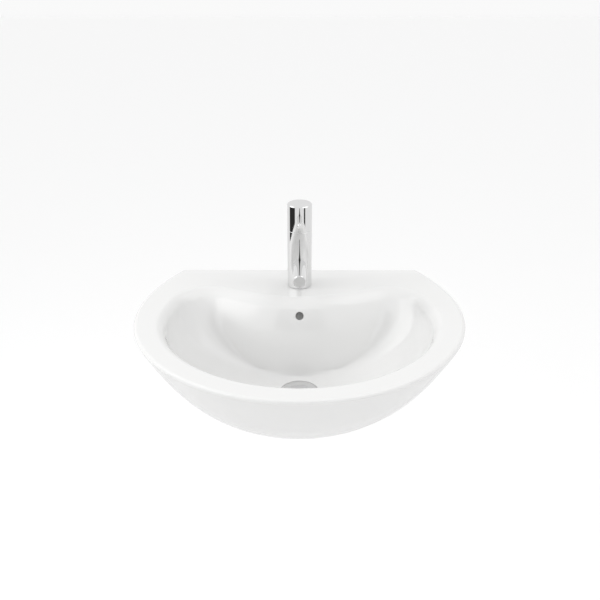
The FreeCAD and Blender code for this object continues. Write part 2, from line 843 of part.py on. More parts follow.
def make_spout():
    straight = "spout_reach - spout_end_edge"
    barrel = cylinder("spout_barrel", "spout_radius", f"{straight} - spout_bore", **on_spout("spout_bore"))
    tip = doc.addObject("Part::Cone", "spout_tip")
    bind(tip, Radius1="spout_radius", Radius2="spout_radius - spout_end_edge", Height="spout_end_edge")
    place(tip, **on_spout(straight))
    column = cylinder("spout_cope", "column_radius + fit_gap", "2 * spout_height")
    coped = cut("spout_coped", fuse("spout_rod", barrel, tip), column)
    root = "column_radius - spigot_depth + seat_gap"
    spigot = cylinder("spout_spigot", "spigot_radius", "2 * spigot_depth", **on_spout(root))
    groove = cut(
        "spigot_groove_ring",
        cylinder("groove_rim", "spigot_radius + 1", "2 * spigot_groove", **on_spout(SPIGOT_MIDDLE)),
        cylinder(
            "groove_floor", "spigot_radius - spigot_groove", "2 * spigot_groove",
            **on_spout(SPIGOT_MIDDLE),
        ),
    )
    bore_length = "spout_reach - spout_end_wall - spout_bore"
    bore = cylinder("spout_waterway", "spout_bore", bore_length, **on_spout("spout_bore"))
    aerator_bore = cylinder(
        "aerator_bore",
        "aerator_radius + fit_gap",
        "2 * spout_radius - aerator_shelf - spout_bore / 2",
        y="-(spout_reach - aerator_inset) * cos(spout_rise)",
        z="spout_height + (spout_reach - aerator_inset) * sin(spout_rise) - 1.5 * spout_radius",
    )
    return cut("spout_casting", fuse("spout_blank", coped, spigot), groove, bore, aerator_bore)


def on_aerator(drop):
    """Position expressions on the aerator's upright axis, from the middle of the spout down."""
    return {
        "y": "-(spout_reach - aerator_inset) * cos(spout_rise)",
        "z": f"spout_height + (spout_reach - aerator_inset) * sin(spout_rise) - ({drop})",
    }


def make_aerator_insert():
    """A disc with one ring of holes round a middle one."""
    plate_radius = "aerator_radius - aerator_wall - fit_gap"
    plate = cylinder("mesh_plate", plate_radius, "aerator_height / 2", **on_aerator("spout_radius - 1"))
    middle = on_aerator("spout_radius")
    holes = [cylinder("mesh_hole_middle", "mesh_hole", "aerator_height", **middle)]
    for i in range(6):
        angle = 60 * i
        holes.append(
            cylinder(
                f"mesh_hole_{i}",
                "mesh_hole",
                "aerator_height",
                x=f"mesh_ring * cos({angle})",
                y=f"{middle['y']} + mesh_ring * sin({angle})",
                z=middle["z"],
            )
        )
    return cut("mesh_disc", plate, *holes)


tap_part("tap_body", make_tap_body())
tap_part(
    "tap_base_gasket",
    tube("base_ring", "gasket_outer", "gasket_inner", "gasket_thickness", z="seat_gap / 2"),
)
tap_part("spout", make_spout())
tap_part(
    "spout_seal",
    tube(
        "spout_ring",
        "spigot_radius",
        "spigot_radius - spigot_groove + fit_gap",
        "2 * spigot_groove - 2 * seat_gap",
        **on_spout("column_radius - spigot_depth / 2 + seat_gap"),
    ),
)
tap_part(
    "aerator_housing",
    tube(
        "aerator_ring",
        "aerator_radius",
        "aerator_radius - aerator_wall",
        "aerator_height",
        **on_aerator("spout_radius + aerator_stand"),
    ),
)
tap_part("aerator_insert", make_aerator_insert())
tap_part(
    "aerator_seal",
    tube(
        "aerator_washer",
        "aerator_radius - seat_gap",
        "aerator_radius - 2 * aerator_wall",
        "aerator_seal_height",
        **on_aerator("spout_radius + aerator_stand - aerator_height - seat_gap"),
    ),
)


# --- what holds the tap under the deck ---


def horseshoe(name, radius, thickness, top):
    """A plate under the deck: open at the front for the hoses, with a hole for the stud."""
    base = f"{top} - {thickness}"
    plate = cylinder(f"{name}_plate", radius, thickness, z=base)
    gap = box(
        f"{name}_gap", "hose_gap", "horseshoe_radius + hose_gap_back", thickness,
        "-hose_gap / 2", "-horseshoe_radius", base,
    )
    hole = cylinder(f"{name}_hole", "stud_radius + fit_gap", thickness, y="stud_offset", z=base)
    return cut(name, plate, gap, hole)


tap_part(
    "mounting_stud",
    cylinder("stud", "stud_radius", "stud_drop + stud_depth"),
    "stud_offset",
    "-stud_drop",
)
GASKET_TOP = "-deck_thickness - seat_gap"
WASHER_TOP = f"{GASKET_TOP} - horseshoe_gasket - seat_gap"
tap_part("horseshoe_gasket", horseshoe("shoe_gasket", "horseshoe_radius", "horseshoe_gasket", GASKET_TOP))
tap_part("horseshoe_washer", horseshoe("shoe_washer", "horseshoe_radius", "horseshoe_plate", WASHER_TOP))
STUD_NUT_BASE = f"{WASHER_TOP} - horseshoe_plate - seat_gap - stud_nut_height"
tap_part(
    "stud_nut",
    cut(
        "stud_nut_ring",
        hexagon("stud_nut_hex", "stud_nut_size", "stud_nut_height", y="stud_offset", z=STUD_NUT_BASE),
        cylinder("stud_nut_bore", "stud_radius + fit_gap", "stud_nut_height", y="stud_offset", z=STUD_NUT_BASE),
    ),
)


# --- the cartridge inside the column ---

PORTS = [
    ("hot", "-inlet_spacing / 2", "inlet_setback"),
    ("cold", "inlet_spacing / 2", "inlet_setback"),
    ("outlet", "0", "-outlet_offset"),
]


def ports(name, radius, height, z):
    """The two inlets and the outlet as holes through one piece of the cartridge."""
    return [cylinder(f"{name}_{port}", radius, height, x, y, z) for port, x, y in PORTS]


CARTRIDGE_BASE = "cartridge_seat + seat_gap * 2"
DISC_BASE = f"{CARTRIDGE_BASE} + cartridge_base_height + seat_gap"
MOVING_DISC_BASE = f"{DISC_BASE} + disc_thickness + seat_gap"
CARRIER_BASE = f"{MOVING_DISC_BASE} + disc_thickness"
HOUSING_BASE = f"{CARTRIDGE_BASE} + cartridge_base_height + seat_gap"
TURRET_BASE = "pivot_height - turret_drop"


def make_cartridge_base():
    plate = cylinder("base_plate", "cartridge_radius", "cartridge_base_height", z=CARTRIDGE_BASE)
    holes = ports("base_port", "waterway_radius", "cartridge_base_height", CARTRIDGE_BASE)
    grooves = ports(
        "seal_groove",
        "waterway_radius + seal_width + fit_gap",
        "seal_height - seat_gap",
        CARTRIDGE_BASE,
    )
    return cut("base_casting", plate, *holes, *grooves)


def make_port_seals():
    rims = ports("seal_rim", "waterway_radius + seal_width", "seal_height", "cartridge_seat + fit_gap")
    holes = ports("seal_hole", "waterway_radius", "seal_height", "cartridge_seat + fit_gap")
    return cut("seal_rings", fuse("seal_rims", *rims), *holes)


def make_fixed_disc():
    disc = cylinder("fixed_plate", "disc_radius", "disc_thickness", z=DISC_BASE)
    return cut("fixed_ceramic", disc, *ports("disc_port", "waterway_radius", "disc_thickness", DISC_BASE))


def make_moving_disc():
    """A disc with a shallow chamber below, through which water passes from inlets to outlet."""
    disc = cylinder("moving_plate", "moving_disc_radius", "disc_thickness", z=MOVING_DISC_BASE)
    chamber = cylinder(
        "mixing_chamber", "moving_disc_radius * 0.6", "disc_thickness / 2", y="-waterway_radius / 2", z=MOVING_DISC_BASE
    )
    return cut("moving_ceramic", disc, chamber)


def make_disc_carrier():
    carrier = cylinder("carrier_plate", "moving_disc_radius", "carrier_height", z=CARRIER_BASE)
    socket = cylinder("carrier_socket", "stem_ball + body_gap", "carrier_height", z=CARRIER_BASE)
    return cut("carrier", carrier, socket)


def make_stem_turret():
    profile = [
        ("0", TURRET_BASE),
        ("turret_radius", TURRET_BASE),
        ("turret_radius", f"{TURRET_BASE} + turret_foot"),
        ("turret_neck", f"{TURRET_BASE} + turret_foot"),
        ("turret_neck", "turret_top"),
        ("0", "turret_top"),
    ]
    slot = box(
        "turret_slot",
        "stem_width + 2 * body_gap",
        "turret_slot_front + turret_slot_back",
        "turret_top",
        "-stem_width / 2 - body_gap",
        "-turret_slot_front",
        f"{TURRET_BASE} - 1",
    )
    pin_hole = cylinder(
        "pivot_hole", "pivot_radius + fit_gap", "2 * turret_radius", x="-turret_radius", z="pivot_height",
        turn=((0, 1, 0), "90"),
    )
    return cut("turret", turned("turret_blank", profile), slot, pin_hole)


def make_control_stem():
    """A ball in the disc carrier, a neck, a hub round the pivot pin and a square for the handle."""
    ball = doc.addObject("Part::Sphere", "stem_ball_end")
    bind(ball, Radius="stem_ball")
    place(ball, z="pivot_height - stem_arm")
    neck = cylinder("stem_shank", "stem_neck", "stem_arm", z="pivot_height - stem_arm")
    hub = cylinder(
        "stem_boss", "stem_hub", "stem_width", x="-stem_width / 2", z="pivot_height", turn=((0, 1, 0), "90")
    )
    square = box(
        "stem_square", "stem_width", "stem_width", "stem_top - pivot_height",
        "-stem_width / 2", "-stem_width / 2", "pivot_height",
    )
    hole = cylinder(
        "stem_pin_hole", "pivot_radius + fit_gap", "2 * stem_width", x="-stem_width", z="pivot_height",
        turn=((0, 1, 0), "90"),
    )
    return cut("stem", fuse("stem_blank", ball, neck, hub, square), hole)


def make_cartridge_housing():
    profile = [
        ("housing_bore", HOUSING_BASE),
        ("cartridge_radius", HOUSING_BASE),
        ("cartridge_radius", f"{HOUSING_BASE} + housing_height"),
        ("housing_mouth", f"{HOUSING_BASE} + housing_height"),
        ("housing_mouth", f"{HOUSING_BASE} + housing_height - housing_lid"),
        ("housing_bore", f"{HOUSING_BASE} + housing_height - housing_lid"),
    ]
    return turned("housing_shell", profile)


def make_bonnet_ring():
    """A low dome that covers the nut under the cap."""
    base = "seam_height + fit_gap"
    profile = [
        ("bonnet_inner", base),
        ("bonnet_outer", base),
        ("bonnet_outer - bonnet_height * 0.3", f"{base} + bonnet_height * 0.6"),
        ("bonnet_inner + bonnet_height * 0.5", f"{base} + bonnet_height"),
        ("bonnet_inner", f"{base} + bonnet_height"),
    ]
    return turned("bonnet_dome", profile)


tap_part("cartridge_base", make_cartridge_base())
tap_part("port_seals", make_port_seals())
tap_part("fixed_disc", make_fixed_disc())
tap_part("moving_disc", make_moving_disc())
tap_part("disc_carrier", make_disc_carrier())
tap_part("stem_turret", make_stem_turret())
tap_part(
    "pivot_pin",
    cylinder("pivot_rod", "pivot_radius", "pivot_length"),
    z="pivot_height",
    x="-pivot_length / 2",
    turn=((0, 1, 0), "90"),
)
tap_part("control_stem", make_control_stem())
tap_part("cartridge_housing", make_cartridge_housing())
tap_part(
    "cartridge_nut",
    tube(
        "nut_ring", "nut_radius", "nut_bore", "nut_height",
        z=f"{HOUSING_BASE} + housing_height + seat_gap",
    ),
)
tap_part("bonnet_ring", make_bonnet_ring())


# --- the handle: a cap that turns on the column and tips back, with its pin lever ---

CAP_BASE = "seam_height + cap_gap"


def make_handle_cap():
    shell = turned(
        "cap_shell",
        [
            ("column_radius - cap_wall", CAP_BASE),
            ("column_radius", CAP_BASE),
            ("column_radius", "tap_height - cap_edge"),
            ("column_radius - cap_edge", "tap_height"),
            ("0", "tap_height"),
            ("0", "tap_height - cap_roof"),
            ("column_radius - cap_wall", "tap_height - cap_roof"),
        ],
    )
    boss_length = "tap_height - cap_roof / 2 - cap_boss_height"
    boss = cylinder("cap_boss", "cap_boss_radius", boss_length, z="cap_boss_height")
    socket = box(
        "stem_socket",
        "stem_width + 2 * socket_gap",
        "stem_width + 2 * socket_gap",
        "socket_depth",
        "-stem_width / 2 - socket_gap",
        "-stem_width / 2 - socket_gap",
        "cap_boss_height",
    )
    relief = box(
        "cap_relief",
        "4 * column_radius",
        "2 * column_radius",
        "column_radius",
        "-2 * column_radius",
        "column_radius * sin(relief_angle) - relief_start",
        f"{CAP_BASE} - column_radius * cos(relief_angle)",
        turn=((1, 0, 0), "relief_angle"),
    )
    lever_hole = cylinder(
        "lever_hole", "lever_radius + fit_gap", "column_radius", y="-lever_root",
        z="lever_height", turn=((1, 0, 0), "90"),
    )
    grub_hole = cylinder(
        "grub_hole", "grub_radius + fit_gap", "cap_boss_radius + 1", z="grub_height", turn=((1, 0, 0), "-90")
    )
    cover_hole = cylinder(
        "cover_hole", "cover_radius + fit_gap", "column_radius", y="cap_boss_radius + 1", z="grub_height",
        turn=((1, 0, 0), "-90"),
    )
    return cut("cap", fuse("cap_blank", shell, boss), socket, relief, lever_hole, grub_hole, cover_hole)


def make_lever_pin():
    length = "column_radius + lever_reach - lever_root - seat_gap - lever_edge"
    start = "lever_root + seat_gap"
    rod = cylinder("lever_rod", "lever_radius", length, y=f"-({start})", z="lever_height", turn=((1, 0, 0), "90"))
    tip = doc.addObject("Part::Cone", "lever_tip")
    bind(tip, Radius1="lever_radius", Radius2="lever_radius - lever_edge", Height="lever_edge")
    place(tip, y="-(column_radius + lever_reach - lever_edge)", z="lever_height", turn=((1, 0, 0), "90"))
    return fuse("lever", rod, tip)


tap_part("handle_cap", make_handle_cap())
tap_part("lever_pin", make_lever_pin())
tap_part(
    "grub_screw",
    cylinder("grub", "grub_radius", "grub_length"),
    "stem_width / 2 + fit_gap",
    "grub_height",
    turn=((1, 0, 0), "-90"),
)
tap_part(
    "screw_cover",
    cylinder("cover", "cover_radius", "cap_wall - 2 * seat_gap"),
    "column_radius - cap_wall",
    "grub_height",
    turn=((1, 0, 0), "-90"),
)


# --- check and export ---

doc.recompute()
problems = [
    obj.Name for obj in doc.Objects if "Invalid" in obj.State or "Error" in obj.State
]
for obj in subparts:
    if obj.Shape.isNull() or not obj.Shape.isValid() or not obj.Shape.Solids:
        problems.append(obj.Label)
if problems:
    raise RuntimeError("not built: " + ", ".join(problems))

os.makedirs("parts", exist_ok=True)
for obj in subparts:
    obj.Shape.exportStep(f"parts/{obj.Label}.step")
print(f"{len(subparts)} sub-parts")
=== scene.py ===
import json
import math

import bmesh
import bpy
from mathutils import Matrix, Vector


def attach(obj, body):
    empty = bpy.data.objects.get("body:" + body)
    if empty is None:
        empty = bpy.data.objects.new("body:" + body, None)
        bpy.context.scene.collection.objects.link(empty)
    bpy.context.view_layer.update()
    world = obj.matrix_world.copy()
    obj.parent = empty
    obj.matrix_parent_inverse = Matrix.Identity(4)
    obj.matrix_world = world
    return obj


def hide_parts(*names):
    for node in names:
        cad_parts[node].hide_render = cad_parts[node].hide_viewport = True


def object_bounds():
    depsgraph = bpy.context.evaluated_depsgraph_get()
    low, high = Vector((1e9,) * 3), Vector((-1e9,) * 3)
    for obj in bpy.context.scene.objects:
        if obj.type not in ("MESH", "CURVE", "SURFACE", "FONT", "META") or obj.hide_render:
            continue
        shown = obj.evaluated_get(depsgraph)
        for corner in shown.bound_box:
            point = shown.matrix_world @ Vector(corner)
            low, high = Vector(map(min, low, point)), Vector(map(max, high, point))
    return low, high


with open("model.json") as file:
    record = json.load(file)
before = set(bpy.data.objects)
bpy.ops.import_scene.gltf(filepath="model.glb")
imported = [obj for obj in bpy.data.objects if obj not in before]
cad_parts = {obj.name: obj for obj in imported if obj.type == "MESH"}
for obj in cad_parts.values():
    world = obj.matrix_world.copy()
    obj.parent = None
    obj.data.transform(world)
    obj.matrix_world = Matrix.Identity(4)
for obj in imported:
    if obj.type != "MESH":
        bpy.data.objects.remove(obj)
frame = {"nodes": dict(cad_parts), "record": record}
cad_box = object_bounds()

MM = 0.001

# --- sizes in millimetres, as in the CAD source; Z is measured from the counter's top ---

RIM_TOP = 20.0
RIM_RADIUS, OVERHANG, REAR_REACH = 279.5, 213.5, 251.5
SIDE_RADIUS, SIDE_START = 400.0, 15.0
RIM_EDGE, BACK_CORNER = 8.0, 12.0
SEAT_WIDTH, DECK = 28.0, 15.0
WIDEST_DROP, SKIRT_DEPTH = 5.2, 186.0
SKIRT_TOP_POWER, SKIRT_FOOT_POWER = 1.19, 3.2
SKIRT_SETBACK, SETBACK_DEPTH, SKIRT_WALL = 23.1, 40.6, 14.0
BOWL_X, BOWL_Y, RIM_BAND, BOWL_FLOOR = 226.0, 212.0, 49.5, 133.0
SIDE_POWER, FLOOR_POWER, BOWL_WALL, BOWL_EDGE = 1.9, 2.0, 11.0, 15.0
WALL_TOP, WALL_FOOT, WALL_FADE, WALL_BULGE = 119.0, 71.0, 55.0, 262.0
WALL_CUT, SIDE_SHARE, CORNER_SHARE, CORNER_PLACE = 0.5, 0.93, 0.28, 0.6
LOBE_POWER, LEAST_CORNER = 12.0, 10.0
OVERFLOW_RADIUS, OVERFLOW_DROP = 7.2, 24.0
DUCT_WIDTH, DUCT_DEPTH, DUCT_WALL, DUCT_TOP, DUCT_FLOOR = 34.0, 12.0, 8.0, 20.0, 30.0
WASTE_Y, FLANGE_RADIUS, FLANGE_GAP, FLANGE_RECESS = 30.0, 33.0, 0.6, 5.0
WASTE_HOLE, BOSS_RADIUS, BOSS_DROP = 22.5, 45.0, 46.0
TAP_Y, TAP_HOLE = 182.0, 17.5
BOWL_END = 0.992  # share of the bowl's depth at which its cutting shape stops
SEAT_RADIUS = FLANGE_RADIUS + FLANGE_GAP
FRONT_CENTRE = BOWL_Y - OVERHANG + RIM_BAND
BOWL_DEPTH = BOWL_FLOOR / (1 - (SEAT_RADIUS / BOWL_X) ** FLOOR_POWER) ** (1 / SIDE_POWER)
PAST = 5.0  # how far a cutting shape runs past what it cuts

# --- how finely the meshes are divided ---

FRONT_STEPS, SIDE_STEPS, CORNER_STEPS, BACK_STEPS = 96, 24, 16, 32  # round an outline
CIRCLE_STEPS, WIDE_STEPS, WALL_STEPS = 96, 160, 256  # round a small, a wide and a far circle
RIM_EDGE_STEPS, BOWL_EDGE_STEPS = 10, 12
SKIRT_STEPS, SKIRT_END = 50, 46  # the skirt stops this many steps down its curve
HOLLOW_STEPS, POT_STEPS, BOWL_STEPS, DUCT_STEPS = 32, 32, 44, 12
STRAIGHT = 1e-6  # a back edge that sags less than this is straight
SHARP_ANGLE = math.radians(28)

# --- materials ---

COAT_ROUGHNESS, NOISE_DETAIL = 0.03, 4.0
GLOSS_SPREAD = 0.15  # share by which roughness varies
BUMP_DEPTH = 0.0002  # metres

# --- floor, backdrop and camera, in metres ---

FLOOR_DROP, FLOOR_REACH, BACKDROP_REACH = 0.66, 30.0, 10.0
FLOOR_TONE, BACKDROP_LEVEL = 0.92, 0.94
PHOTO_PX, FOCAL_PX, SENSOR_MM = 600, 860.2, 36.0
CAMERA_PLACE = (0.0034, -1.2395, 0.6817)
CAMERA_PITCH, CAMERA_YAW = math.radians(26.01), math.radians(-0.11)
CAMERA_CLIP = (0.01, 50)


# --- outlines and closed meshes ---


def arc_points(x, y, radius, start, end, count):
    """Points along an arc, its last one left to the next stretch."""
    turns = [math.radians(start + (end - start) * i / count) for i in range(count)]
    return [(x + radius * math.cos(turn), y + radius * math.sin(turn)) for turn in turns]


def outline(z, front, side, corner, back, turn=90.0):
    """Points of a closed outline of tangent arcs, the same on both sides of the centre line.

    front and side are (x, y, radius) of the front arc and the right side arc, corner is the
    radius of the rear corners, and back the place of the rear edge on the centre line. turn is
    the angle at which a corner ends: 90 gives a straight rear edge, less or more a round one.
    """
    side_x, side_y, side_radius = side
    outer = math.copysign(1, front[2] - side_radius)
    start = math.degrees(math.atan2(outer * (side_y - front[1]), outer * side_x))
    swing = side_radius - corner
    lean = math.radians(45 - turn / 2)
    rise = back - corner - side_y - side_x * math.tan(lean)
    meet = math.degrees(math.asin(min(rise * math.cos(lean) / swing, 1)) - lean)
    meet = min(meet, turn - LEAST_CORNER)
    corner_x = side_x + swing * math.cos(math.radians(meet))
    corner_y = side_y + swing * math.sin(math.radians(meet))
    back = corner_y + corner + corner_x * math.tan(lean)
    tip_x = corner_x + corner * math.cos(math.radians(turn))
    tip_y = corner_y + corner * math.sin(math.radians(turn))
    points = arc_points(0, front[1], front[2], 180 - start, 360 + start, FRONT_STEPS)
    points += arc_points(side_x, side_y, side_radius, start, meet, SIDE_STEPS)
    points += arc_points(corner_x, corner_y, corner, meet, turn, CORNER_STEPS)
    sag = back - tip_y
    for i in range(BACK_STEPS):
        x = tip_x * (1 - 2 * i / BACK_STEPS)
        if abs(sag) > STRAIGHT:
            bend = (sag**2 + tip_x**2) / (2 * sag)
            y = back - bend + math.copysign(math.sqrt(bend**2 - x**2), bend)
        else:
            y = back
        points.append((x, y))
    points += arc_points(-corner_x, corner_y, corner, 180 - turn, 180 - meet, CORNER_STEPS)
    points += arc_points(-side_x, side_y, side_radius, 180 - meet, 180 - start, SIDE_STEPS)
    return [(x, y, z) for x, y in points]


def skirt_section(depth):
    """Radius and centre of the skirt's front at a depth below the rim's top."""
    share = max(depth - WIDEST_DROP, 0) / (SKIRT_DEPTH - WIDEST_DROP)
    radius = RIM_RADIUS * (1 - share**SKIRT_TOP_POWER) ** (1 / SKIRT_FOOT_POWER)
    setback = SKIRT_SETBACK * (1 - math.exp(-depth / SETBACK_DEPTH))
    return radius, RIM_RADIUS - OVERHANG + setback


def rim_outline(depth, inset=0.0):
    radius, centre = skirt_section(depth)
    turn = math.radians(SIDE_START)
    side_x = (radius - SIDE_RADIUS) * math.cos(turn)
    side_y = centre + (radius - SIDE_RADIUS) * math.sin(turn)
    corner = max(BACK_CORNER - inset, BACK_CORNER / 4)
    side = (side_x, side_y, SIDE_RADIUS - inset)
    return outline(RIM_TOP - depth, (0, centre, radius - inset), side, corner, REAR_REACH - inset)


def back_wall(depth):
    return WALL_FOOT + (WALL_TOP - WALL_FOOT) * math.exp(-depth / WALL_FADE)


def bowl_spread(depth):
    return (1 - (depth / BOWL_DEPTH) ** SIDE_POWER) ** (1 / FLOOR_POWER)


def bowl_outline(depth, grow=0.0):
    share, spread = depth / BOWL_DEPTH, bowl_spread(depth)
    half_x, half_y = BOWL_X * spread, BOWL_Y * spread
    side = SIDE_SHARE * half_y
    front = ((half_x - side) ** 2 + half_y**2 - side**2) / (2 * (half_y - side))
    centre = FRONT_CENTRE + (WASTE_Y - FRONT_CENTRE) * share
    oval_back = centre + half_y - WASTE_Y
    wall_back = back_wall(depth) - WASTE_Y
    reach = (oval_back**-LOBE_POWER + wall_back**-LOBE_POWER) ** (-1 / LOBE_POWER)
    cut_off = min((1 - reach / oval_back) / WALL_CUT, 1)
    bulge = WALL_BULGE + WALL_TOP - back_wall(depth)
    bend = (1 - cut_off) / front - cut_off / bulge
    return outline(
        RIM_TOP - depth,
        (0, centre - half_y + front, front + grow),
        (half_x - side, centre, side + grow),
        side * CORNER_SHARE + grow,
        WASTE_Y + reach + grow,
        90 - math.degrees(CORNER_PLACE * half_x * bend),
    )


def rounded(radius, steps):
    turns = [math.pi / 2 * i / steps for i in range(steps + 1)]
    return [(radius * (1 - math.cos(turn)), radius * (1 - math.sin(turn))) for turn in turns]


def bowl_levels(top, steps):
    first, last = math.asin(top / BOWL_DEPTH), math.asin(BOWL_END)
    return [BOWL_DEPTH * math.sin(first + (last - first) * i / steps) for i in range(steps + 1)]


def add_object(name, data):
    obj = bpy.data.objects.new(name, data)
    bpy.context.collection.objects.link(obj)
    return obj


def solid(name, rings):
    """A closed mesh through rings of points given in millimetres."""
    mesh = bmesh.new()
    loops = [[mesh.verts.new(Vector(p) * MM) for p in ring] for ring in rings]
    for one, two in zip(loops, loops[1:]):
        for i in range(len(one)):
            j = (i + 1) % len(one)
            mesh.faces.new((one[i], one[j], two[j], two[i]))
    mesh.faces.new(loops[0][::-1])
    mesh.faces.new(loops[-1])
    bmesh.ops.recalc_face_normals(mesh, faces=mesh.faces)
    data = bpy.data.meshes.new(name)
    mesh.to_mesh(data)
    mesh.free()
    return add_object(name, data)


def circle(x, y, z, radius, count):
    turns = [2 * math.pi * i / count for i in range(count)]
    return [(x + radius * math.cos(turn), y + radius * math.sin(turn), z) for turn in turns]


def turned(name, profile, y=0.0, count=CIRCLE_STEPS):
    """A solid of revolution about an upright axis on the centre line."""
    return solid(name, [circle(0, y, z, radius, count) for radius, z in profile])


def block(name, low, high):
    (x0, y0, z0), (x1, y1, z1) = low, high
    rings = [[(x0, y0, z), (x1, y0, z), (x1, y1, z), (x0, y1, z)] for z in (z0, z1)]
    return solid(name, rings)


def duct(name, front, depth, width, top, floor):
    """A passage that goes down behind the bowl's back wall and turns forward to the waste."""
    levels = [top + (BOWL_FLOOR - top) * i / DUCT_STEPS for i in range(DUCT_STEPS + 1)]
    ahead = [(back_wall(level) + front, RIM_TOP - level) for level in levels]
    behind = [(y + depth, z) for y, z in ahead]
    below = RIM_TOP - BOWL_FLOOR - floor
    roof = below + depth
    turn = [(ahead[-1][0], roof), (WASTE_Y, roof), (WASTE_Y, below), (behind[-1][0], below)]
    side = ahead + turn + behind[::-1]
    return solid(name, [[(x, y, z) for y, z in side] for x in (-width / 2, width / 2)])


def combine(obj, operation, other):
    """Apply a boolean with another mesh, which is used up."""
    step = obj.modifiers.new("step", "BOOLEAN")
    step.operation, step.object, step.solver = operation, other, "EXACT"
    depsgraph = bpy.context.evaluated_depsgraph_get()
    data = bpy.data.meshes.new_from_object(obj.evaluated_get(depsgraph))
    obj.modifiers.clear()
    obj.data = data
    bpy.data.objects.remove(other)


def make_china():
    """The whole china: each step adds or cuts one form."""
    big = 4 * RIM_RADIUS
    flange_z = RIM_TOP - BOWL_FLOOR
    foot_z = flange_z - BOSS_DROP

    # outside: rounded rim edge and skirt, cut off behind the counter's front
    rim = [rim_outline(drop, inset) for drop, inset in rounded(RIM_EDGE, RIM_EDGE_STEPS)]
    step = (SKIRT_DEPTH - RIM_EDGE) / SKIRT_STEPS
    skirt = [rim_outline(RIM_EDGE + step * i) for i in range(1, SKIRT_END + 1)]
    china = solid("china", rim + skirt)
    combine(china, "DIFFERENCE", block("counter", (-big, 0, -big), (big, big, 0)))

    # space inside the skirt and under the rim
    drop = SKIRT_DEPTH - SKIRT_WALL * 1.5 - DECK
    rings = []
    for i in range(HOLLOW_STEPS + 1):
        depth = DECK + drop * i / HOLLOW_STEPS
        radius, centre = skirt_section(depth)
        rings.append(circle(0, centre, RIM_TOP - depth, radius - SKIRT_WALL, WIDE_STEPS))
    hollow = solid("hollow", rings)
    combine(hollow, "DIFFERENCE", block("behind", (-big, 0, -big), (big, big, big)))
    combine(china, "DIFFERENCE", hollow)
    low, high = (rim_outline(depth, SEAT_WIDTH) for depth in (2 * RIM_TOP, DECK))
    combine(china, "DIFFERENCE", solid("recess", [low, high]))

    # outside of the bowl, with its back cut round
    steps = [
        (BOWL_X * bowl_spread(depth) + BOWL_WALL, RIM_TOP - depth - BOWL_WALL * depth / BOWL_DEPTH)
        for depth in bowl_levels(DECK / 2, POT_STEPS)
    ]
    pot = turned("pot", steps, y=FRONT_CENTRE, count=WIDE_STEPS)
    hub = WALL_TOP + WALL_BULGE
    top, bottom = steps[0][1], steps[-1][1]
    walls = [hub - back_wall(RIM_TOP - z) - BOWL_WALL for z in (top, bottom)]
    lean = (walls[1] - walls[0]) / (top - bottom)
    behind = [(walls[0] - lean * PAST, top + PAST), (walls[1] + lean * PAST, bottom - PAST)]
    combine(pot, "DIFFERENCE", turned("behind", behind, y=hub, count=WALL_STEPS))
    combine(china, "UNION", pot)

    # waste boss and the overflow duct's casing
    roof_z = flange_z - BOWL_WALL / 2
    boss = turned("boss", [(BOSS_RADIUS, foot_z), (BOSS_RADIUS, roof_z)], y=WASTE_Y)
    combine(china, "UNION", boss)
    corners = (-BOSS_RADIUS, 0, foot_z), (BOSS_RADIUS, WASTE_Y, roof_z)
    combine(china, "UNION", block("boss_front", *corners))
    casing = duct(
        "casing",
        DUCT_WALL / 2,
        DUCT_DEPTH + 1.5 * DUCT_WALL,
        DUCT_WIDTH + 2 * DUCT_WALL,
        DECK - 2,
        DUCT_FLOOR + DUCT_WALL,
    )
    combine(china, "UNION", casing)

    # inside of the bowl
    edge = [bowl_outline(drop, inset) for drop, inset in rounded(BOWL_EDGE, BOWL_EDGE_STEPS)]
    above = [(x, y, z + 2 * PAST) for x, y, z in edge[0]]
    bowl = [bowl_outline(depth) for depth in bowl_levels(BOWL_EDGE, BOWL_STEPS)[1:]]
    combine(china, "DIFFERENCE", solid("bowl", [above] + edge + bowl))

    # overflow duct, and its hole square to the sloping back wall
    passage = duct("duct", DUCT_WALL, DUCT_DEPTH, DUCT_WIDTH, DUCT_TOP, DUCT_FLOOR)
    combine(china, "DIFFERENCE", passage)
    bore = [(OVERFLOW_RADIUS, -DUCT_DEPTH / 2), (OVERFLOW_RADIUS, DUCT_DEPTH * 1.5)]
    overflow = turned("overflow", bore)
    fall = math.exp(-OVERFLOW_DROP / WALL_FADE) * (WALL_TOP - WALL_FOOT) / WALL_FADE
    turn = Vector((0, 1, -fall)).to_track_quat("Z", "Y").to_matrix().to_4x4()
    mouth = Vector((0, back_wall(OVERFLOW_DROP), RIM_TOP - OVERFLOW_DROP)) * MM
    overflow.data.transform(Matrix.Translation(mouth) @ turn)
    combine(china, "DIFFERENCE", overflow)

    for name, radius, y, low, high in (
        ("waste_hole", WASTE_HOLE, WASTE_Y, foot_z - BOSS_DROP, flange_z),
        ("flange_seat", SEAT_RADIUS, WASTE_Y, flange_z - FLANGE_RECESS, flange_z + BOSS_DROP),
        ("tap_hole", TAP_HOLE, TAP_Y, -RIM_TOP, 2 * RIM_TOP),
    ):
        combine(china, "DIFFERENCE", turned(name, [(radius, low), (radius, high)], y=y))
    return china


# --- surfaces ---


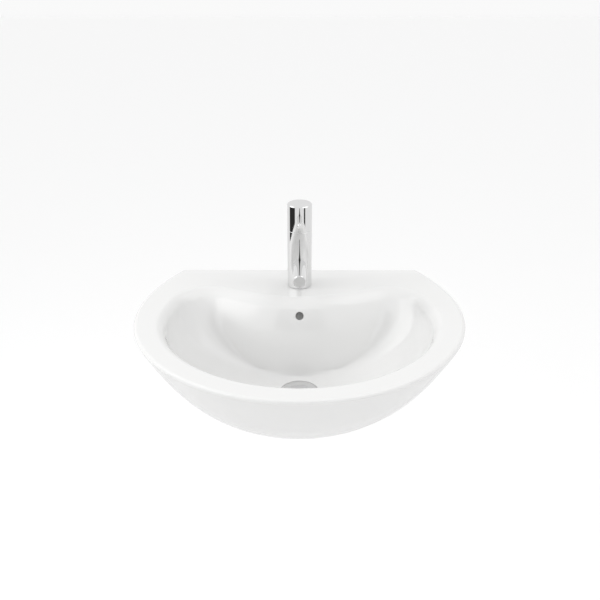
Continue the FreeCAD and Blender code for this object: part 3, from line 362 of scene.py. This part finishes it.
def material(name, colour, metallic=0.0, roughness=0.4, coat=0.0, detail=0.03, scale=60.0, bump=0):
    """A surface whose colour and roughness vary slightly with a noise on the object."""
    mat = bpy.data.materials.new(name)
    mat.use_nodes = True
    nodes, links = mat.node_tree.nodes, mat.node_tree.links
    shader = nodes["Principled BSDF"]
    shader.inputs["Metallic"].default_value = metallic
    shader.inputs["Coat Weight"].default_value = coat
    shader.inputs["Coat Roughness"].default_value = COAT_ROUGHNESS
    place = nodes.new("ShaderNodeTexCoord")
    noise = nodes.new("ShaderNodeTexNoise")
    noise.inputs["Scale"].default_value = scale
    noise.inputs["Detail"].default_value = NOISE_DETAIL
    links.new(place.outputs["Object"], noise.inputs["Vector"])
    tint = nodes.new("ShaderNodeValToRGB")
    tint.color_ramp.elements[0].color = (*(c * (1 - detail) for c in colour), 1)
    tint.color_ramp.elements[1].color = (*colour, 1)
    links.new(noise.outputs["Fac"], tint.inputs["Fac"])
    links.new(tint.outputs["Color"], shader.inputs["Base Color"])
    gloss = nodes.new("ShaderNodeMapRange")
    gloss.inputs["To Min"].default_value = roughness * (1 - GLOSS_SPREAD)
    gloss.inputs["To Max"].default_value = roughness * (1 + GLOSS_SPREAD)
    links.new(noise.outputs["Fac"], gloss.inputs["Value"])
    links.new(gloss.outputs["Result"], shader.inputs["Roughness"])
    if bump:
        relief = nodes.new("ShaderNodeBump")
        relief.inputs["Strength"].default_value = bump
        relief.inputs["Distance"].default_value = BUMP_DEPTH
        links.new(noise.outputs["Fac"], relief.inputs["Height"])
        links.new(relief.outputs["Normal"], shader.inputs["Normal"])
    return mat


# slot: name, colour, metallic, roughness, coat, detail, scale and bump, as material() takes them
SURFACES = {
    "china": ("glazed_china", (0.75, 0.75, 0.745), 0.0, 0.09, 0.5, 0.01, 9.0),
    "polished_metal": ("polished_chrome", (0.82, 0.82, 0.82), 1.0, 0.04, 0.0, 0.04, 40.0),
    "plug_metal": ("plug_chrome", (0.84, 0.84, 0.85), 1.0, 0.1, 0.0, 0.04, 40.0),
    "plain_brass": ("turned_brass", (0.62, 0.46, 0.2), 1.0, 0.3, 0.0, 0.15, 60.0, 0.1),
    "plain_steel": ("plain_steel", (0.5, 0.51, 0.52), 1.0, 0.35, 0.0, 0.12, 60.0, 0.1),
    "seal_rubber": ("seal_rubber", (0.03, 0.03, 0.03), 0.0, 0.6, 0.0, 0.3, 60.0, 0.2),
    "dark_plastic": ("dark_plastic", (0.08, 0.08, 0.09), 0.0, 0.45, 0.0, 0.2, 60.0, 0.1),
    "pale_plastic": ("pale_plastic", (0.72, 0.72, 0.7), 0.0, 0.4, 0.0, 0.06, 60.0, 0.1),
    "disc_ceramic": ("disc_ceramic", (0.8, 0.78, 0.73), 0.0, 0.2, 0.0, 0.05),
}
LOOKS = {slot: material(*values) for slot, values in SURFACES.items()}

for entry in frame["record"]["subparts"]:
    frame["nodes"][entry["node"]].material_slots[0].material = LOOKS[entry["material_slot"]]


# --- the china's smooth surface in place of its CAD facets ---

china = make_china()
china.data.materials.append(LOOKS["china"])
china.data.shade_smooth()
china.data.set_sharp_from_angle(angle=SHARP_ANGLE)
china.modifiers.new("even_shading", "WEIGHTED_NORMAL").keep_sharp = True
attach(china, "fixed")
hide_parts("basin_body")


# --- floor, light and camera ---


def stage_mesh(name, corners, faces, surface):
    data = bpy.data.meshes.new(name)
    data.from_pydata(corners, [], faces)
    data.materials.append(surface)
    obj = add_object(name, data)
    obj.location.z = cad_box[0][2] - FLOOR_DROP
    return obj


def square(reach, z):
    return [(x * reach, y * reach, z) for x, y in ((-1, -1), (1, -1), (1, 1), (-1, 1))]


def make_floor():
    tone = (FLOOR_TONE,) * 3
    surface = material("pale_floor", tone, roughness=0.6, detail=0.005)
    floor = stage_mesh("floor", square(FLOOR_REACH, 0), [(0, 1, 2, 3)], surface)
    floor.visible_glossy = False


def make_backdrop():
    """Plain pale walls and ceiling, seen only by the camera, in front of the lighting."""
    surface = material("pale_backdrop", (0, 0, 0), roughness=1.0, detail=0.0)
    shader = surface.node_tree.nodes["Principled BSDF"]
    shader.inputs["Emission Color"].default_value = (1, 1, 1, 1)
    shader.inputs["Emission Strength"].default_value = BACKDROP_LEVEL
    corners = square(BACKDROP_REACH, 0) + square(BACKDROP_REACH, BACKDROP_REACH)
    faces = [(i, (i + 1) % 4, (i + 1) % 4 + 4, i + 4) for i in range(4)] + [(4, 5, 6, 7)]
    backdrop = stage_mesh("backdrop", corners, faces, surface)
    for ray in ("diffuse", "glossy", "transmission", "volume_scatter", "shadow"):
        setattr(backdrop, "visible_" + ray, False)


def area_light(name, place, size, watts):
    """A square lamp aimed at the middle of the counter's front edge, not mirrored in the chrome."""
    data = bpy.data.lights.new(name, "AREA")
    data.shape, data.size, data.energy = "SQUARE", size, watts
    light = add_object(name, data)
    light.location = place
    light.rotation_euler = (-Vector(place)).to_track_quat("-Z", "Y").to_euler()
    light.visible_glossy = False


class Studio:
    """A pale room as a world, with soft panels placed by direction from the object, in degrees.

    Azimuth is 0 behind the object and 90 to its right.
    """

    def __init__(self, level):
        world = bpy.data.worlds.new("studio")
        world.use_nodes = True
        bpy.context.scene.world = world
        self.nodes, self.links = world.node_tree.nodes, world.node_tree.links
        place = self.nodes.new("ShaderNodeTexCoord")
        split = self.nodes.new("ShaderNodeSeparateXYZ")
        self.links.new(place.outputs["Generated"], split.inputs["Vector"])
        x, y, z = (split.outputs[axis] for axis in "XYZ")
        self.angles = {
            "azimuth": self.math("DEGREES", self.math("ARCTAN2", x, y)),
            "elevation": self.math("DEGREES", self.math("ARCSINE", z)),
        }
        self.level = self.math("ADD", level, 0.0)

    def math(self, operation, *values):
        node = self.nodes.new("ShaderNodeMath")
        node.operation = operation
        for socket, value in zip(node.inputs, values):
            if isinstance(value, (int, float)):
                socket.default_value = value
            else:
                self.links.new(value, socket)
        return node.outputs[0]

    def within(self, angle, low, high, soft):
        """1 between two angles, fading to 0 across their edges."""
        offset = self.math("SUBTRACT", self.angles[angle], (low + high) / 2)
        offset = self.math("WRAP", offset, 180, -180)
        half = (high - low) / 2
        fade = self.nodes.new("ShaderNodeMapRange")
        fade.interpolation_type = "SMOOTHSTEP"
        self.links.new(self.math("ABSOLUTE", offset), fade.inputs["Value"])
        limits = {"From Min": half - soft, "From Max": half + soft, "To Min": 1, "To Max": 0}
        for name, value in limits.items():
            fade.inputs[name].default_value = value
        return fade.outputs["Result"]

    def panel(self, level, soft, **ranges):
        """A lit or dark panel between two limits of each of two angles."""
        masks = [self.within(angle, low, high, soft) for angle, (low, high) in ranges.items()]
        change = self.math("SUBTRACT", level, self.level)
        self.level = self.math("MULTIPLY_ADD", change, self.math("MULTIPLY", *masks), self.level)

    def light(self):
        self.links.new(self.level, self.nodes["Background"].inputs["Strength"])
        self.nodes["Background"].inputs["Color"].default_value = (1, 1, 1, 1)


def make_camera():
    """The photograph's camera, solved from the counter's edges and the round rim."""
    data = bpy.data.cameras.new("photo_camera")
    data.sensor_width = SENSOR_MM
    data.lens = SENSOR_MM * FOCAL_PX / PHOTO_PX
    data.clip_start, data.clip_end = CAMERA_CLIP
    camera = add_object("photo_camera", data)
    level = math.cos(CAMERA_PITCH)
    ahead = Vector(
        (math.sin(CAMERA_YAW) * level, math.cos(CAMERA_YAW) * level, -math.sin(CAMERA_PITCH))
    )
    right = Vector((math.cos(CAMERA_YAW), -math.sin(CAMERA_YAW), 0))
    up = right.cross(ahead)
    turn = Matrix((right, up, -ahead)).transposed().to_4x4()
    camera.matrix_world = Matrix.Translation(CAMERA_PLACE) @ turn
    bpy.context.scene.camera = camera


make_floor()
make_backdrop()
make_camera()
studio = Studio(0.88)
for level, soft, azimuth, elevation in (
    (1.9, 8, (-145, -65), (24, 54)),  # large softbox on the left
    (1.5, 8, (40, 130), (44, 76)),  # fill above the right
    (0.03, 2, (-136, -76), (-35, -17)),  # dark flag for the column's left edge
    (0.05, 1, (126, 140), (-35, -17)),  # dark flag for its thin line on the right
    (0.03, 3, (162, 198), (12, 42)),  # dark camera stand, for the streak down its middle
):
    studio.panel(level, soft, azimuth=azimuth, elevation=elevation)
studio.light()
area_light("key", (-1.6, 0.0, 0.52), 0.25, 5.5)
area_light("front_fill", (0.2, -2.2, 1.6), 1.2, 12)
area_light("right_fill", (1.0, 0.1, 1.1), 0.4, 1.8)
bpy.context.scene.view_settings.view_transform = "Standard"
